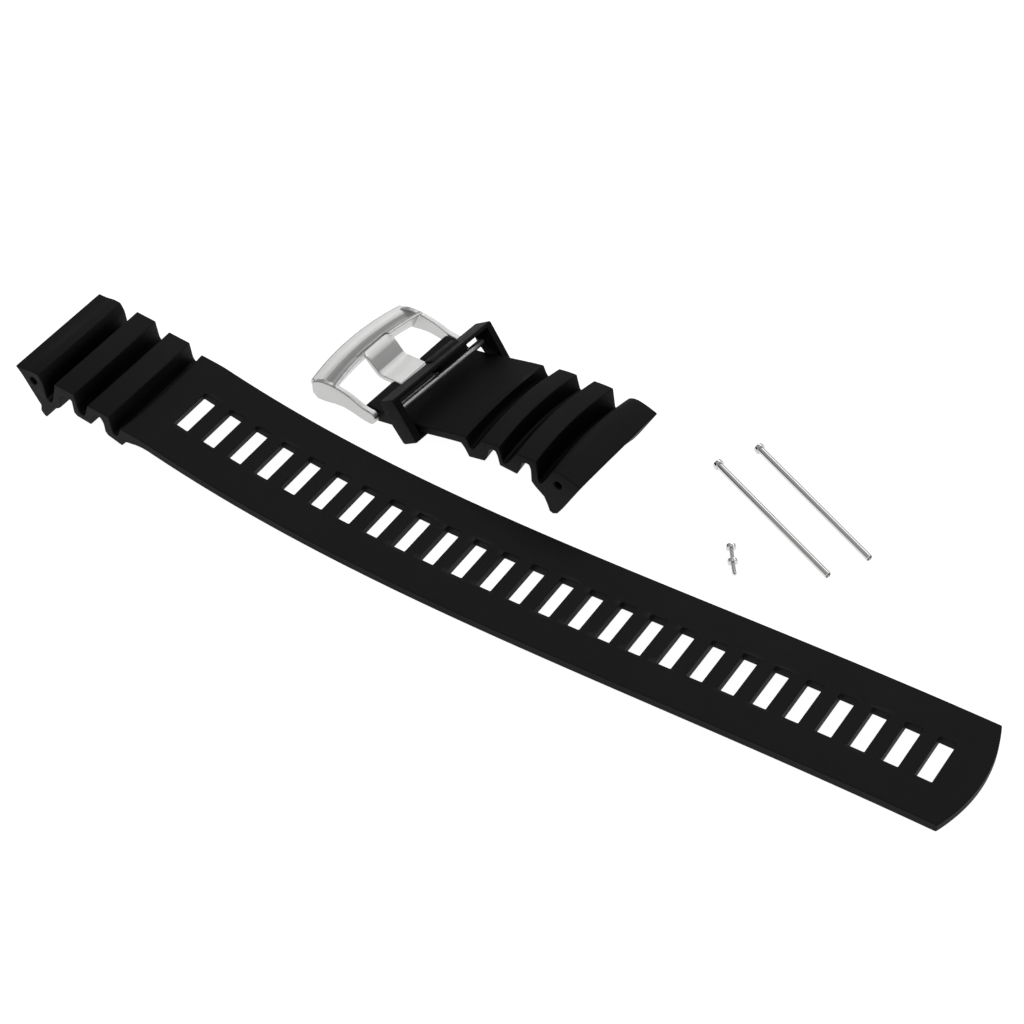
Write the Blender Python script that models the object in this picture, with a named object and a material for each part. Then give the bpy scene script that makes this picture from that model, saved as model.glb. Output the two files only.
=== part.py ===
"""Strap kit of a wrist dive computer, laid out loose on a table.

The long strap lies along +X with its lug end at -X.  The short strap carries the buckle and the
keeper and lies behind it, a few degrees askew.  Two lug pins and their two screws lie loose.
All lengths are written in millimetres and turned into metres by MM.  The table is z = 0.
"""
import math

import bmesh
import bpy
from mathutils import Euler, Vector

MM = 0.001
KIT = "dive_strap_kit"

# ---- where the groups lie on the table (mm, degrees) --------------------------------------------
LONG_PLACE = (101.13, -24.26)       # centre of the last slot, near the free end
SHORT_PLACE = (1.38, 11.69)         # zero of the short strap's own lengthwise scale
SHORT_HEADING = -3.90
PIN_PLACES = {"lug_pin_a": ((24.91, 28.25), -24.27), "lug_pin_b": ((29.89, 37.27), -24.54)}
SCREW_PLACES = {"lug_screw_a": ((39.14, 8.78), -53.3), "lug_screw_b": ((41.38, 5.37), -51.4)}

# ---- straps -------------------------------------------------------------------------------------
STRAP_W = 28.0
STRAP_T = 2.07
SLOT_COUNT = 26
SLOT_PITCH = 7.0
SLOT_LEN = 3.55                     # along the strap
SLOT_WID = 10.81                    # across the strap
TIP_EDGE = 7.0                      # last slot to the corner of the free end
TIP_ARC = 2.8                       # extra length at the middle of the free end
BLADE_Z = 7.77                      # top of the blade over the last slot
BEND = (-1.72, -13.14, 17.29, 9.94) # downward slope of the lying blade, degrees, as a cubic
BEND_SPAN = SLOT_PITCH * (SLOT_COUNT - 1)
FOLD_CROWN = 0.8                    # the folds stand this much higher at mid width
FOLD_BOW = 0.7                      # and bow this much away from the case
BORE_R = 0.95                       # lug pin bore
LATERAL = (-14.0, -9.6, -4.8, 0.0, 4.8, 9.6, 14.0)

# side outlines of the moulded ends: (lengthwise, height)
LONG_TOP = [(-212.1, 13.4), (-209.6, 13.35), (-207.4, 13.8), (-205.7, 13.6), (-204.7, 11.9),
            (-204.2, 7.5), (-203.6, 7.0), (-202.8, 7.1), (-202.2, 8.6), (-201.1, 13.2),
            (-196.0, 12.8), (-195.3, 8.6), (-194.7, 7.7), (-193.7, 7.8), (-193.1, 9.2),
            (-192.4, 11.4), (-186.8, 10.95), (-186.2, 7.1), (-185.7, 6.3), (-185.0, 6.4),
            (-183.7, 8.95)]
LONG_BOTTOM = [(-183.0, 5.6), (-184.0, 4.0), (-187.6, 5.1), (-188.3, 5.9), (-188.5, 8.3),
               (-189.1, 9.4), (-190.4, 9.7), (-191.1, 9.2), (-191.5, 6.9), (-192.2, 6.0),
               (-195.9, 6.5), (-196.7, 7.3), (-196.9, 10.3), (-197.6, 10.9), (-199.3, 10.9),
               (-200.0, 10.2), (-200.5, 6.7), (-201.1, 6.1), (-202.3, 5.4), (-205.3, 1.4),
               (-206.2, 2.2), (-206.6, 2.9), (-206.3, 4.5), (-208.5, 8.1), (-210.6, 11.7)]
LONG_BORE = (-207.3, 11.1)

SHORT_TOP = [(9.35, 11.6), (6.6, 12.45), (4.3, 12.8), (3.0, 12.55), (2.1, 12.0),
             (-0.2, 7.6), (-0.85, 7.0), (-1.35, 7.6), (-2.1, 12.5), (-4.4, 12.35),
             (-7.0, 11.95), (-9.2, 8.2), (-9.9, 7.4), (-10.6, 7.7), (-11.6, 11.25),
             (-13.9, 10.95), (-16.2, 10.4), (-18.2, 6.9), (-18.9, 6.6), (-19.5, 7.2),
             (-20.4, 9.2), (-22.6, 8.62), (-26.7, 7.37), (-38.0, 3.87), (-41.4, 3.45),
             (-47.0, 3.65), (-47.8, 2.95)]
SHORT_BOTTOM = [(-46.6, 1.3), (-45.3, 0.1), (-44.6, 0.1), (-40.3, 1.12), (-26.0, 5.5),
                (-21.7, 6.7), (-20.8, 5.9), (-19.5, 3.8), (-15.4, 5.0), (-14.9, 5.9),
                (-14.3, 8.6), (-13.6, 9.4), (-12.6, 9.5), (-12.1, 8.6), (-11.4, 6.05),
                (-6.9, 6.1), (-6.4, 7.3), (-5.6, 9.9), (-4.8, 10.6), (-3.9, 10.6),
                (-3.4, 9.6), (-3.2, 6.3), (-2.4, 5.4), (0.1, 3.7), (1.0, 1.9),
                (1.6, 0.3), (2.5, 0.05), (3.6, 0.7), (4.9, 2.9), (7.0, 7.0)]
SHORT_BORE = (3.6, 9.06)

# ---- buckle -------------------------------------------------------------------------------------
HINGE = (-45.1, 2.05)               # spring bar axis, in the short strap's side view
NOTCH_HALF = 4.9                    # notch in the barrel for the tongue
NOTCH_BACK = -42.7
ARM_IN = 14.35
ARM_OUT = 16.25
ARM_LEAN = 0.14                     # the arm's outer face leans in as it rises
ARM_SIDE = [(-47.0, 0.6), (-52.5, 1.45), (-57.6, 0.2), (-59.6, 0.0), (-61.2, 1.0),
            (-61.5, 3.5), (-59.6, 4.7), (-57.0, 5.2), (-54.0, 5.25), (-50.6, 4.8), (-47.2, 3.6)]
EYE_R = 1.5
BAR_SIDE = [(-56.3, 5.4), (-57.3, 2.8), (-58.6, 0.6), (-60.6, 0.25), (-62.6, 0.95),
            (-63.6, 2.5), (-63.55, 3.7), (-63.0, 4.1), (-62.0, 3.85), (-60.3, 3.9),
            (-58.4, 4.5), (-57.2, 5.3)]
BAR_BOW = 1.7                       # front bar curves back toward the strap at its ends
BAR_CROWN = 0.4
SEAT_HALF = 5.0                     # seat for the tongue tip, cut in the front bar
SEAT_BACK = -57.7
SEAT_Z = 4.55
TONGUE_HALF = 4.5
TONGUE_T = 1.1
TONGUE_TOP = [(-45.6, 3.42), (-48.6, 3.2), (-50.9, 2.95), (-51.7, 3.25), (-54.2, 5.75),
              (-55.1, 6.3), (-56.3, 6.45)]
TONGUE_EYE_R = 1.4

# ---- spring bar ---------------------------------------------------------------------------------
TUBE_R = 0.78
TUBE_HALF = 13.7
TUBE_BORE_R = 0.58
TUBE_LIP_R = 0.42
TUBE_LIP = 0.4
TIP_NOSE_R = 0.32
TIP_BODY_R = 0.45
TIP_BODY = (10.4, 13.15)
TIP_END = 15.5
BLIND_R = 0.5
BLIND_END = 15.65
BARREL_BORE_R = 0.93
SPRING_R = 0.36
SPRING_WIRE = 0.07
SPRING_HALF = 10.3
SPRING_TURNS = 14

# ---- keeper -------------------------------------------------------------------------------------
KEEPER_TOP_RIGHT = (-37.27, 11.83)  # upper corner of the loop on the case side
KEEPER_LEAN = 36.0                  # degrees from upright
KEEPER_YAW = -2.0                   # the loop sits askew, its far end toward the case
KEEPER_LEN = 10.75
KEEPER_DEPTH = 5.2
KEEPER_IN = 14.5                    # half widths at mid height
KEEPER_OUT = 16.15
KEEPER_FLARE = 0.3                  # the walls spread by this much to the foot, and close to the top
KEEPER_TOP_T = (0.8, 1.9)           # top bar, on its case side and on its buckle side
KEEPER_FOOT_GAP = 0.3               # between the loop's foot and the strap's underside
BLOCK_WIDE = (-0.7, 8.4)            # block under the top bar, nearer the far side
BLOCK_SIDE = [(0.5, 0.9), (2.0, 1.0), (2.7, 2.1), (2.7, 4.9), (2.2, 5.5), (-0.45, 5.5),
              (-0.45, 3.6), (0.3, 1.8)]
KEEPER_BAR_AT = (3.85, 4.15)        # down the wall and back from its case side
KEEPER_BAR_R = 0.8

# ---- loose hardware -----------------------------------------------------------------------------
PIN_R = 0.78
PIN_LEN = 38.3
PIN_HEAD_R = 1.2
PIN_HEAD_T = 0.95
PIN_HOLE_R = 0.55
PIN_HOLE_DEPTH = 5.0
SCREW_LEN = 3.7
SCREW_R = 0.5
SCREW_HEAD_R = 1.1
SCREW_HEAD_T = 0.9
SCREW_SLOT = 0.35
SCREW_SLOT_DEPTH = 0.4

for old in list(bpy.data.objects):
    bpy.data.objects.remove(old, do_unlink=True)

parts = bpy.data.collections.new(KIT)
cutters = bpy.data.collections.new("cutters")
bpy.context.scene.collection.children.link(parts)
bpy.context.scene.collection.children.link(cutters)


def material(name, colour, roughness, metallic):
    mat = bpy.data.materials.new(name)
    mat.use_nodes = True
    shader = mat.node_tree.nodes["Principled BSDF"]
    shader.inputs["Base Color"].default_value = (*colour, 1.0)
    shader.inputs["Roughness"].default_value = roughness
    shader.inputs["Metallic"].default_value = metallic
    mat.diffuse_color = (*colour, 1.0)
    return mat


RUBBER = material("black_rubber", (0.010, 0.010, 0.011), 0.62, 0.0)
HARD_BLACK = material("black_acetal", (0.020, 0.020, 0.022), 0.40, 0.0)
BRUSHED = material("brushed_steel", (0.60, 0.60, 0.59), 0.32, 1.0)
POLISHED = material("polished_steel", (0.66, 0.66, 0.66), 0.18, 1.0)


def build_object(name, verts, faces, mat=None, group=parts):
    mesh = bpy.data.meshes.new(name)
    bm = bmesh.new()
    points = [bm.verts.new(Vector(v) * MM) for v in verts]
    for face in faces:
        bm.faces.new([points[i] for i in face])
    bmesh.ops.recalc_face_normals(bm, faces=bm.faces)
    bm.to_mesh(mesh)
    bm.free()
    obj = bpy.data.objects.new(name, mesh)
    group.objects.link(obj)
    if mat:
        mesh.materials.append(mat)
    if group is cutters:
        obj.hide_render = True
        obj.display_type = "WIRE"
    return obj


def sweep(outline, stations, warp=None):
    """Carry a side outline (lengthwise, height) across the width as one closed body."""
    count = len(outline)
    verts = []
    for y in stations:
        for x, z in outline:
            verts.append(warp(x, y, z) if warp else (x, y, z))
    faces = [list(range(count)), list(range((len(stations) - 1) * count, len(stations) * count))]
    for row in range(len(stations) - 1):
        for i in range(count):
            j = (i + 1) % count
            a, b = row * count, (row + 1) * count
            faces.append([a + i, a + j, b + j, b + i])
    return verts, faces


def lathe(rings, axis, sides, centre=(0.0, 0.0, 0.0)):
    """Closed solid of revolution from (along, radius) rings; a zero radius closes an end."""
    verts, faces, loops = [], [], []
    for along, radius in rings:
        loop = []
        for k in range(sides if radius > 0 else 1):
            a = 2 * math.pi * (k + 0.5) / sides
            across = (radius * math.cos(a), radius * math.sin(a))
            point = (along, *across) if axis == "X" else (across[0], along, across[1])
            loop.append(len(verts))
            verts.append(tuple(p + c for p, c in zip(point, centre)))
        loops.append(loop)
    for one, two in zip(loops, loops[1:]):
        for k in range(sides):
            n = (k + 1) % sides
            quad = [one[k % len(one)], one[n % len(one)], two[n % len(two)], two[k % len(two)]]
            faces.append(list(dict.fromkeys(quad)))
    return verts, faces


def box(x, y, z):
    verts = [(x[i], y[j], z[k]) for i in (0, 1) for j in (0, 1) for k in (0, 1)]
    faces = [(0, 1, 3, 2), (4, 6, 7, 5), (0, 4, 5, 1), (2, 3, 7, 6), (0, 2, 6, 4), (1, 5, 7, 3)]
    return verts, faces


def together(pieces):
    verts, faces = [], []
    for v, f in pieces:
        faces += [[i + len(verts) for i in face] for face in f]
        verts += v
    return verts, faces


def boolean(obj, tool, operation):
    mod = obj.modifiers.new(operation.lower(), "BOOLEAN")
    mod.operation = operation
    mod.solver = "EXACT"
    mod.object = tool


def cut(obj, name, shape):
    boolean(obj, build_object(name, *shape, group=cutters), "DIFFERENCE")


def join(obj, name, shape):
    boolean(obj, build_object(name, *shape, group=cutters), "UNION")


def place(obj, spot, heading, pivot=(0.0, 0.0, 0.0), tilt=0.0, yaw=0.0):
    """Put the object's origin on its pivot and lay its group on the table."""
    rest = Vector(pivot) * MM
    turn = Euler((0.0, math.radians(tilt), math.radians(heading)))
    here = Vector((spot[0], spot[1], 0.0)) * MM
    for item in [obj] + [m.object for m in obj.modifiers]:
        for vert in item.data.vertices:
            vert.co -= rest
        item.rotation_euler = (0.0, math.radians(tilt), math.radians(heading + yaw))
        item.location = here + turn.to_matrix() @ rest


def fold_shape(x, far_end, case_end):
    """0 on the flat part and on the lug's edge, 1 over the folds."""
    rise = min(1.0, max(0.0, (x - far_end) / (2.0 if case_end > far_end else -2.0)))
    fall = min(1.0, max(0.0, (case_end - x) / (5.0 if case_end > far_end else -5.0)))
    return rise * fall


def dome(y):
    return 1.0 - (2.0 * y / STRAP_W) ** 2


# ---- long strap ---------------------------------------------------------------------------------
def blade_slope(length):
    t = -length / BEND_SPAN
    return math.radians(sum(c * t ** k for k, c in enumerate(BEND)))


def blade_point(length):
    """Top of the blade at a length along it from the last slot, negative toward the lug."""
    steps = 60
    slopes = [blade_slope(length * (i + 0.5) / steps) for i in range(steps)]
    return (sum(math.cos(a) for a in slopes) * length / steps,
            BLADE_Z - sum(math.sin(a) for a in slopes) * length / steps)


def blade_outline():
    lengths = [SLOT_PITCH * (0.5 - i) for i in range(SLOT_COUNT, 0, -1)]
    top, under = [], []
    for length in lengths + [SLOT_PITCH / 2, TIP_EDGE]:
        x, z = blade_point(length)
        a = blade_slope(length)
        top.append((x, z))
        under.append((x - STRAP_T * math.sin(a), z - STRAP_T * math.cos(a)))
    return top + under[::-1]


def long_warp(x, y, z):
    if x > 4.0:
        return (x + TIP_ARC * dome(y), y, z)
    bow = FOLD_BOW * fold_shape(x, -180.0, -212.1)
    rise = FOLD_CROWN * fold_shape(x, -184.0, -212.1)
    return (x + bow * dome(y), y, z + rise * dome(y))


long_outline = LONG_TOP + blade_outline() + LONG_BOTTOM
long_strap = build_object("long_strap", *sweep(long_outline, LATERAL, long_warp), RUBBER)

slots = []
for i in range(SLOT_COUNT):
    x, z = blade_point(-SLOT_PITCH * i)
    tilt = blade_slope(-SLOT_PITCH * i)
    verts, faces = box((-SLOT_LEN / 2, SLOT_LEN / 2), (-SLOT_WID / 2, SLOT_WID / 2), (-4.0, 2.0))
    turned = []
    for a, b, c in verts:
        turned.append((x + a * math.cos(tilt) + c * math.sin(tilt), b,
                       z - a * math.sin(tilt) + c * math.cos(tilt)))
    slots.append((turned, faces))
cut(long_strap, "slot_cutter", together(slots))


def lug_bore(spot):
    rings = [(-16, 0), (-16, BORE_R), (16, BORE_R), (16, 0)]
    return lathe(rings, "Y", 16, (spot[0], 0.0, spot[1]))


cut(long_strap, "long_bore_cutter", lug_bore(LONG_BORE))
place(long_strap, LONG_PLACE, 0.0)


# ---- short strap --------------------------------------------------------------------------------
def short_warp(x, y, z):
    k = fold_shape(x, -21.5, 9.35)
    return (x - FOLD_BOW * dome(y) * k, y, z + FOLD_CROWN * dome(y) * k)


def across_hinge(rings, sides):
    return lathe(rings, "Y", sides, (HINGE[0], 0.0, HINGE[1]))


short_outline = SHORT_TOP + SHORT_BOTTOM
short_strap = build_object("short_strap", *sweep(short_outline, LATERAL, short_warp), RUBBER)
cut(short_strap, "notch_cutter", box((-50.0, NOTCH_BACK), (-NOTCH_HALF, NOTCH_HALF), (-2.0, 6.0)))
barrel_rings = [(-16, 0), (-16, BARREL_BORE_R), (16, BARREL_BORE_R), (16, 0)]
cut(short_strap, "barrel_bore_cutter", across_hinge(barrel_rings, 20))
cut(short_strap, "short_bore_cutter", lug_bore(SHORT_BORE))
place(short_strap, SHORT_PLACE, SHORT_HEADING)


# ---- buckle frame: two arms joined by the front bar ---------------------------------------------
def arm(side):
    eye = []
    for k in range(9):
        a = math.radians(-115 + 25 * k)
        eye.append((HINGE[0] + EYE_R * math.cos(a), HINGE[1] + EYE_R * math.sin(a)))
    outline = ARM_SIDE + eye[::-1]

    def warp(x, y, z):
        return (x, side * (y - (ARM_LEAN * z if y > ARM_IN else 0.0)), z)

    return sweep(outline, (ARM_IN, ARM_OUT), warp)


def bar_warp(x, y, z):
    k = (y / 16.0) ** 2
    return (x + BAR_BOW * k, y, z + BAR_CROWN * (1.0 - k))


bar_stations = [-15.5, -12.8, -9.4, -6.6, 0.0, 6.6, 9.4, 12.8, 15.5]
buckle_frame = build_object("buckle_frame", *sweep(BAR_SIDE, bar_stations, bar_warp), BRUSHED)
join(buckle_frame, "near_arm", arm(-1))
join(buckle_frame, "far_arm", arm(1))
seat = box((SEAT_BACK, -54.0), (-SEAT_HALF, SEAT_HALF), (SEAT_Z, 8.0))
cut(buckle_frame, "seat_cutter", seat)
blind = together([across_hinge([(s * 13, 0), (s * 13, BLIND_R), (s * BLIND_END, BLIND_R),
                                (s * BLIND_END, 0)], 12) for s in (-1, 1)])
cut(buckle_frame, "blind_hole_cutter", blind)
hinge_pivot = (HINGE[0], 0.0, HINGE[1])
place(buckle_frame, SHORT_PLACE, SHORT_HEADING, hinge_pivot)

# ---- buckle tongue: bent plate rolled into an eye -----------------------------------------------
tip_x, tip_z = TONGUE_TOP[-1]
tongue_outline = TONGUE_TOP + [(tip_x - 0.2, tip_z - 0.3), (tip_x, tip_z - TONGUE_T)]
for (ax, az), (bx, bz), (cx, cz) in reversed(list(zip(TONGUE_TOP, TONGUE_TOP[1:], TONGUE_TOP[2:]))):
    run = Vector((cx - ax, cz - az)).normalized()
    tongue_outline.append((bx - TONGUE_T * run.y, bz + TONGUE_T * run.x))
tongue_outline.append((-45.6, 3.42 - TONGUE_T))
buckle_tongue = build_object("buckle_tongue",
                             *sweep(tongue_outline, (-TONGUE_HALF, TONGUE_HALF)), BRUSHED)
eye_rings = [(-TONGUE_HALF, 0), (-TONGUE_HALF, TONGUE_EYE_R), (TONGUE_HALF, TONGUE_EYE_R),
             (TONGUE_HALF, 0)]
join(buckle_tongue, "tongue_eye", across_hinge(eye_rings, 20))
eye_hole = [(-6, 0), (-6, BARREL_BORE_R), (6, BARREL_BORE_R), (6, 0)]
cut(buckle_tongue, "tongue_hole_cutter", across_hinge(eye_hole, 20))
place(buckle_tongue, SHORT_PLACE, SHORT_HEADING, hinge_pivot)

# ---- spring bar: tube, two sliding tips and the coil between them -------------------------------
lip_in = TUBE_HALF - TUBE_LIP
tube_rings = [(-TUBE_HALF, TUBE_LIP_R), (-TUBE_HALF, TUBE_R), (TUBE_HALF, TUBE_R),
              (TUBE_HALF, TUBE_LIP_R), (lip_in, TUBE_LIP_R), (lip_in, TUBE_BORE_R),
              (-lip_in, TUBE_BORE_R), (-lip_in, TUBE_LIP_R), (-TUBE_HALF, TUBE_LIP_R)]
tube = build_object("spring_bar_tube", *across_hinge(tube_rings[:-1] + tube_rings[:1], 16), POLISHED)
bm = bmesh.new()
bm.from_mesh(tube.data)
bmesh.ops.remove_doubles(bm, verts=bm.verts, dist=1e-6)
bmesh.ops.recalc_face_normals(bm, faces=bm.faces)
bm.to_mesh(tube.data)
bm.free()
place(tube, SHORT_PLACE, SHORT_HEADING, hinge_pivot)

for name, side in (("spring_bar_tip_near", -1), ("spring_bar_tip_far", 1)):
    rings = [(TIP_BODY[0], 0), (TIP_BODY[0], TIP_BODY_R), (TIP_BODY[1], TIP_BODY_R),
             (TIP_BODY[1], TIP_NOSE_R), (TIP_END - 0.15, TIP_NOSE_R), (TIP_END, 0.18), (TIP_END, 0)]
    shape = across_hinge([(side * along, r) for along, r in rings], 12)
    tip = build_object(name, *shape, POLISHED)
    place(tip, SHORT_PLACE, SHORT_HEADING, (HINGE[0], side * TIP_END, HINGE[1]))

coil = bpy.data.curves.new("spring_path", "CURVE")
coil.dimensions = "3D"
coil.bevel_depth = SPRING_WIRE * MM
coil.bevel_resolution = 0
coil.use_fill_caps = True
path = coil.splines.new("POLY")
coil_steps = SPRING_TURNS * 8
path.points.add(coil_steps)
for k in range(coil_steps + 1):
    a = 2 * math.pi * k / 8
    path.points[k].co = (SPRING_R * MM * math.cos(a), (2 * k / coil_steps - 1) * SPRING_HALF * MM,
                         SPRING_R * MM * math.sin(a), 1.0)
spring = bpy.data.objects.new("spring_bar_spring", coil)
spring.data.materials.append(POLISHED)
parts.objects.link(spring)
spring_turn = Euler((0.0, 0.0, math.radians(SHORT_HEADING)))
spring.rotation_euler = spring_turn
spring.location = (Vector((*SHORT_PLACE, 0.0)) + spring_turn.to_matrix() @ Vector(hinge_pivot)) * MM


# ---- keeper: loop with a block under the top bar, and its steel bar -----------------------------
def keeper_point(down, back):
    """A point of the loop's side view: down the wall, and back toward the buckle."""
    a = math.radians(KEEPER_LEAN)
    return (KEEPER_TOP_RIGHT[0] + down * math.sin(a) - back * math.cos(a),
            KEEPER_TOP_RIGHT[1] - down * math.cos(a) - back * math.sin(a))


def keeper_flare(x, y, z):
    """The side walls lean: closer at the top bar, wider at the foot."""
    drop = (KEEPER_TOP_RIGHT[1] - z) / (KEEPER_LEN * math.cos(math.radians(KEEPER_LEAN)))
    return (x, y + math.copysign(KEEPER_FLARE * min(1.0, 2.0 * drop - 1.0), y), z)


loop_side = [(0.3, 0.0), (KEEPER_LEN, 0.0), (KEEPER_LEN + 0.2, 0.4), (KEEPER_LEN + 0.2, 4.3),
             (KEEPER_LEN - 0.25, 4.75), (3.3, 5.6), (0.35, KEEPER_DEPTH),
             (0.0, KEEPER_DEPTH - 0.4), (0.0, 0.3)]
loop_outline = [keeper_point(*c) for c in loop_side]
keeper = build_object("keeper", *sweep(loop_outline, (-KEEPER_OUT, KEEPER_OUT), keeper_flare),
                      HARD_BLACK)
rear = (SHORT_BOTTOM[3][0], SHORT_BOTTOM[3][1] - KEEPER_FOOT_GAP)
front = (SHORT_BOTTOM[4][0], SHORT_BOTTOM[4][1] - KEEPER_FOOT_GAP)
top_slope = (KEEPER_TOP_T[1] - KEEPER_TOP_T[0]) / KEEPER_DEPTH
window = [front, rear, keeper_point(KEEPER_TOP_T[1] + 1.5 * top_slope, KEEPER_DEPTH + 1.5),
          keeper_point(KEEPER_TOP_T[0] - top_slope, -1.0)]
cut(keeper, "window_cutter", sweep(window, (-KEEPER_IN, KEEPER_IN), keeper_flare))
join(keeper, "block", sweep([keeper_point(*c) for c in BLOCK_SIDE], BLOCK_WIDE))
bar_x, bar_z = keeper_point(*KEEPER_BAR_AT)
bar_rings = [(-15.75, 0), (-15.75, KEEPER_BAR_R + 0.05), (15.75, KEEPER_BAR_R + 0.05), (15.75, 0)]
cut(keeper, "keeper_bar_cutter", lathe(bar_rings, "Y", 20, (bar_x, 0.0, bar_z)))
keeper_pivot = (bar_x, 0.0, bar_z)
place(keeper, SHORT_PLACE, SHORT_HEADING, keeper_pivot, yaw=KEEPER_YAW)

bar_rings = [(-15.6, 0), (-15.6, KEEPER_BAR_R), (15.6, KEEPER_BAR_R), (15.6, 0)]
keeper_bar = build_object("keeper_bar", *lathe(bar_rings, "Y", 20, keeper_pivot), POLISHED)
place(keeper_bar, SHORT_PLACE, SHORT_HEADING, keeper_pivot, yaw=KEEPER_YAW)


# ---- loose lug pins and screws ------------------------------------------------------------------
def rest_height(radius, thickness, tilt):
    """Height of a head's face centre when head rim and shank end both touch the table."""
    a = math.radians(tilt)
    return (radius * math.cos(a) + thickness * math.sin(a)) * MM


pin_tilt = math.degrees(math.atan2(PIN_HEAD_R - PIN_R, PIN_LEN - PIN_HEAD_T))
for name, (spot, heading) in PIN_PLACES.items():
    rings = [(0, 0), (0, PIN_HEAD_R - 0.2), (0.2, PIN_HEAD_R), (PIN_HEAD_T, PIN_HEAD_R),
             (PIN_HEAD_T, PIN_R), (PIN_LEN, PIN_R), (PIN_LEN, PIN_HOLE_R),
             (PIN_LEN - PIN_HOLE_DEPTH, PIN_HOLE_R), (PIN_LEN - PIN_HOLE_DEPTH - 0.3, 0)]
    pin = build_object(name, *lathe(rings, "X", 16), POLISHED)
    place(pin, spot, heading, tilt=pin_tilt)
    pin.location.z = rest_height(PIN_HEAD_R, PIN_HEAD_T, pin_tilt)

screw_tilt = math.degrees(math.atan2(SCREW_HEAD_R - SCREW_R, SCREW_LEN - SCREW_HEAD_T))
for name, (spot, heading) in SCREW_PLACES.items():
    rings = [(0, 0), (0, SCREW_HEAD_R - 0.2), (0.2, SCREW_HEAD_R), (SCREW_HEAD_T, SCREW_HEAD_R),
             (SCREW_HEAD_T, SCREW_R), (SCREW_LEN - 0.2, SCREW_R), (SCREW_LEN, SCREW_R - 0.2),
             (SCREW_LEN, 0)]
    screw = build_object(name, *lathe(rings, "X", 16), POLISHED)
    cut(screw, name + "_slot", box((-1.0, SCREW_SLOT_DEPTH), (-SCREW_SLOT / 2, SCREW_SLOT / 2),
                                   (-2.0, 2.0)))
    place(screw, spot, heading, tilt=screw_tilt)
    lift = Vector((0.0, 0.0, rest_height(SCREW_HEAD_R, SCREW_HEAD_T, screw_tilt)))
    screw.location += lift
    screw.modifiers[0].object.location += lift
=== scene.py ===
"""The look of the dive computer strap kit: fine rubber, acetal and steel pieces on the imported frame.

Lengths are millimetres in each group's own axes and become metres by MM.  The straps are described
by their side view (lengthwise, height) and carried across the width.
"""

import math

import bmesh
import bpy
from mathutils import Matrix, Vector


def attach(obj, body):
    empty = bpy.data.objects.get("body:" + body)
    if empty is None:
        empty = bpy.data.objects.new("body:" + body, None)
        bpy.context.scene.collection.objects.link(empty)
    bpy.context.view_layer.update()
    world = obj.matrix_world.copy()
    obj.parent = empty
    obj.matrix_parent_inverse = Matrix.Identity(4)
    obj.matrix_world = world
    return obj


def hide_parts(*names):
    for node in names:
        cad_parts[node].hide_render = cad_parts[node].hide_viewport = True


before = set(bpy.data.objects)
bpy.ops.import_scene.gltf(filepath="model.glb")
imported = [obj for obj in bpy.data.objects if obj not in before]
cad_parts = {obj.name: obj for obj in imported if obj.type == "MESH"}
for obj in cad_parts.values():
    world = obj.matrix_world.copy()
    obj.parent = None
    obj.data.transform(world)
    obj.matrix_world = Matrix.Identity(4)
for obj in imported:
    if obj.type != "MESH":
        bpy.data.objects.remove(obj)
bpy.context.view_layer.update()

MM = 0.001

# ---- where the groups lie (mm, degrees) ---------------------------------------------------------
LONG_PLACE = (101.13, -24.26)       # centre of the last slot, near the free end
SHORT_PLACE = (1.38, 11.69)         # zero of the short strap's own lengthwise scale
SHORT_HEADING = -3.90
PIN_PLACES = {"lug_pin_a": ((24.91, 28.25), -24.27), "lug_pin_b": ((29.89, 37.27), -24.54)}
SCREW_PLACES = {"lug_screw_a": ((39.14, 8.78), -53.3), "lug_screw_b": ((41.38, 5.37), -51.4)}

# ---- straps -------------------------------------------------------------------------------------
STRAP_W = 28.0
STRAP_T = 2.07
SLOT_COUNT = 26
SLOT_PITCH = 7.0
SLOT_LEN = 3.55                     # along the strap
SLOT_WID = 10.81                    # across the strap
SLOT_LIP = 0.12                     # the broken edge around each slot
SLOT_ROUND = 0.18
TIP_EDGE = 7.0                      # last slot to the corner of the free end
TIP_ARC = 2.8                       # extra length at the middle of the free end
BLADE_Z = 7.77                      # top of the blade over the last slot
BEND = (-1.72, -13.14, 17.29, 9.94) # slope of the blade, degrees, in powers of the way along it
BEND_SPAN = SLOT_PITCH * (SLOT_COUNT - 1)
FOLD_CROWN = 0.8                    # the folds stand this much higher at mid width
FOLD_BOW = 0.7                      # and bow this much away from the case
BORE_R = 0.95                       # lug pin bore
EDGE_R = 0.22                       # rounding of the straps' side edges

LONG_TOP = [(-212.1, 13.4), (-209.6, 13.35), (-207.4, 13.8), (-205.7, 13.6), (-204.7, 11.9),
            (-204.2, 7.5), (-203.6, 7.0), (-202.8, 7.1), (-202.2, 8.6), (-201.1, 13.2),
            (-196.0, 12.8), (-195.3, 8.6), (-194.7, 7.7), (-193.7, 7.8), (-193.1, 9.2),
            (-192.4, 11.4), (-186.8, 10.95), (-186.2, 7.1), (-185.7, 6.3), (-185.0, 6.4),
            (-183.7, 8.95)]
LONG_BOTTOM = [(-183.0, 5.6), (-184.0, 4.0), (-187.6, 5.1), (-188.3, 5.9), (-188.5, 8.3),
               (-189.1, 9.4), (-190.4, 9.7), (-191.1, 9.2), (-191.5, 6.9), (-192.2, 6.0),
               (-195.9, 6.5), (-196.7, 7.3), (-196.9, 10.3), (-197.6, 10.9), (-199.3, 10.9),
               (-200.0, 10.2), (-200.5, 6.7), (-201.1, 6.1), (-202.3, 5.4), (-205.3, 1.4),
               (-206.2, 2.2), (-206.6, 2.9), (-206.3, 4.5), (-208.5, 8.1), (-210.6, 11.7)]
LONG_BORE = (-207.3, 11.1)

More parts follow.
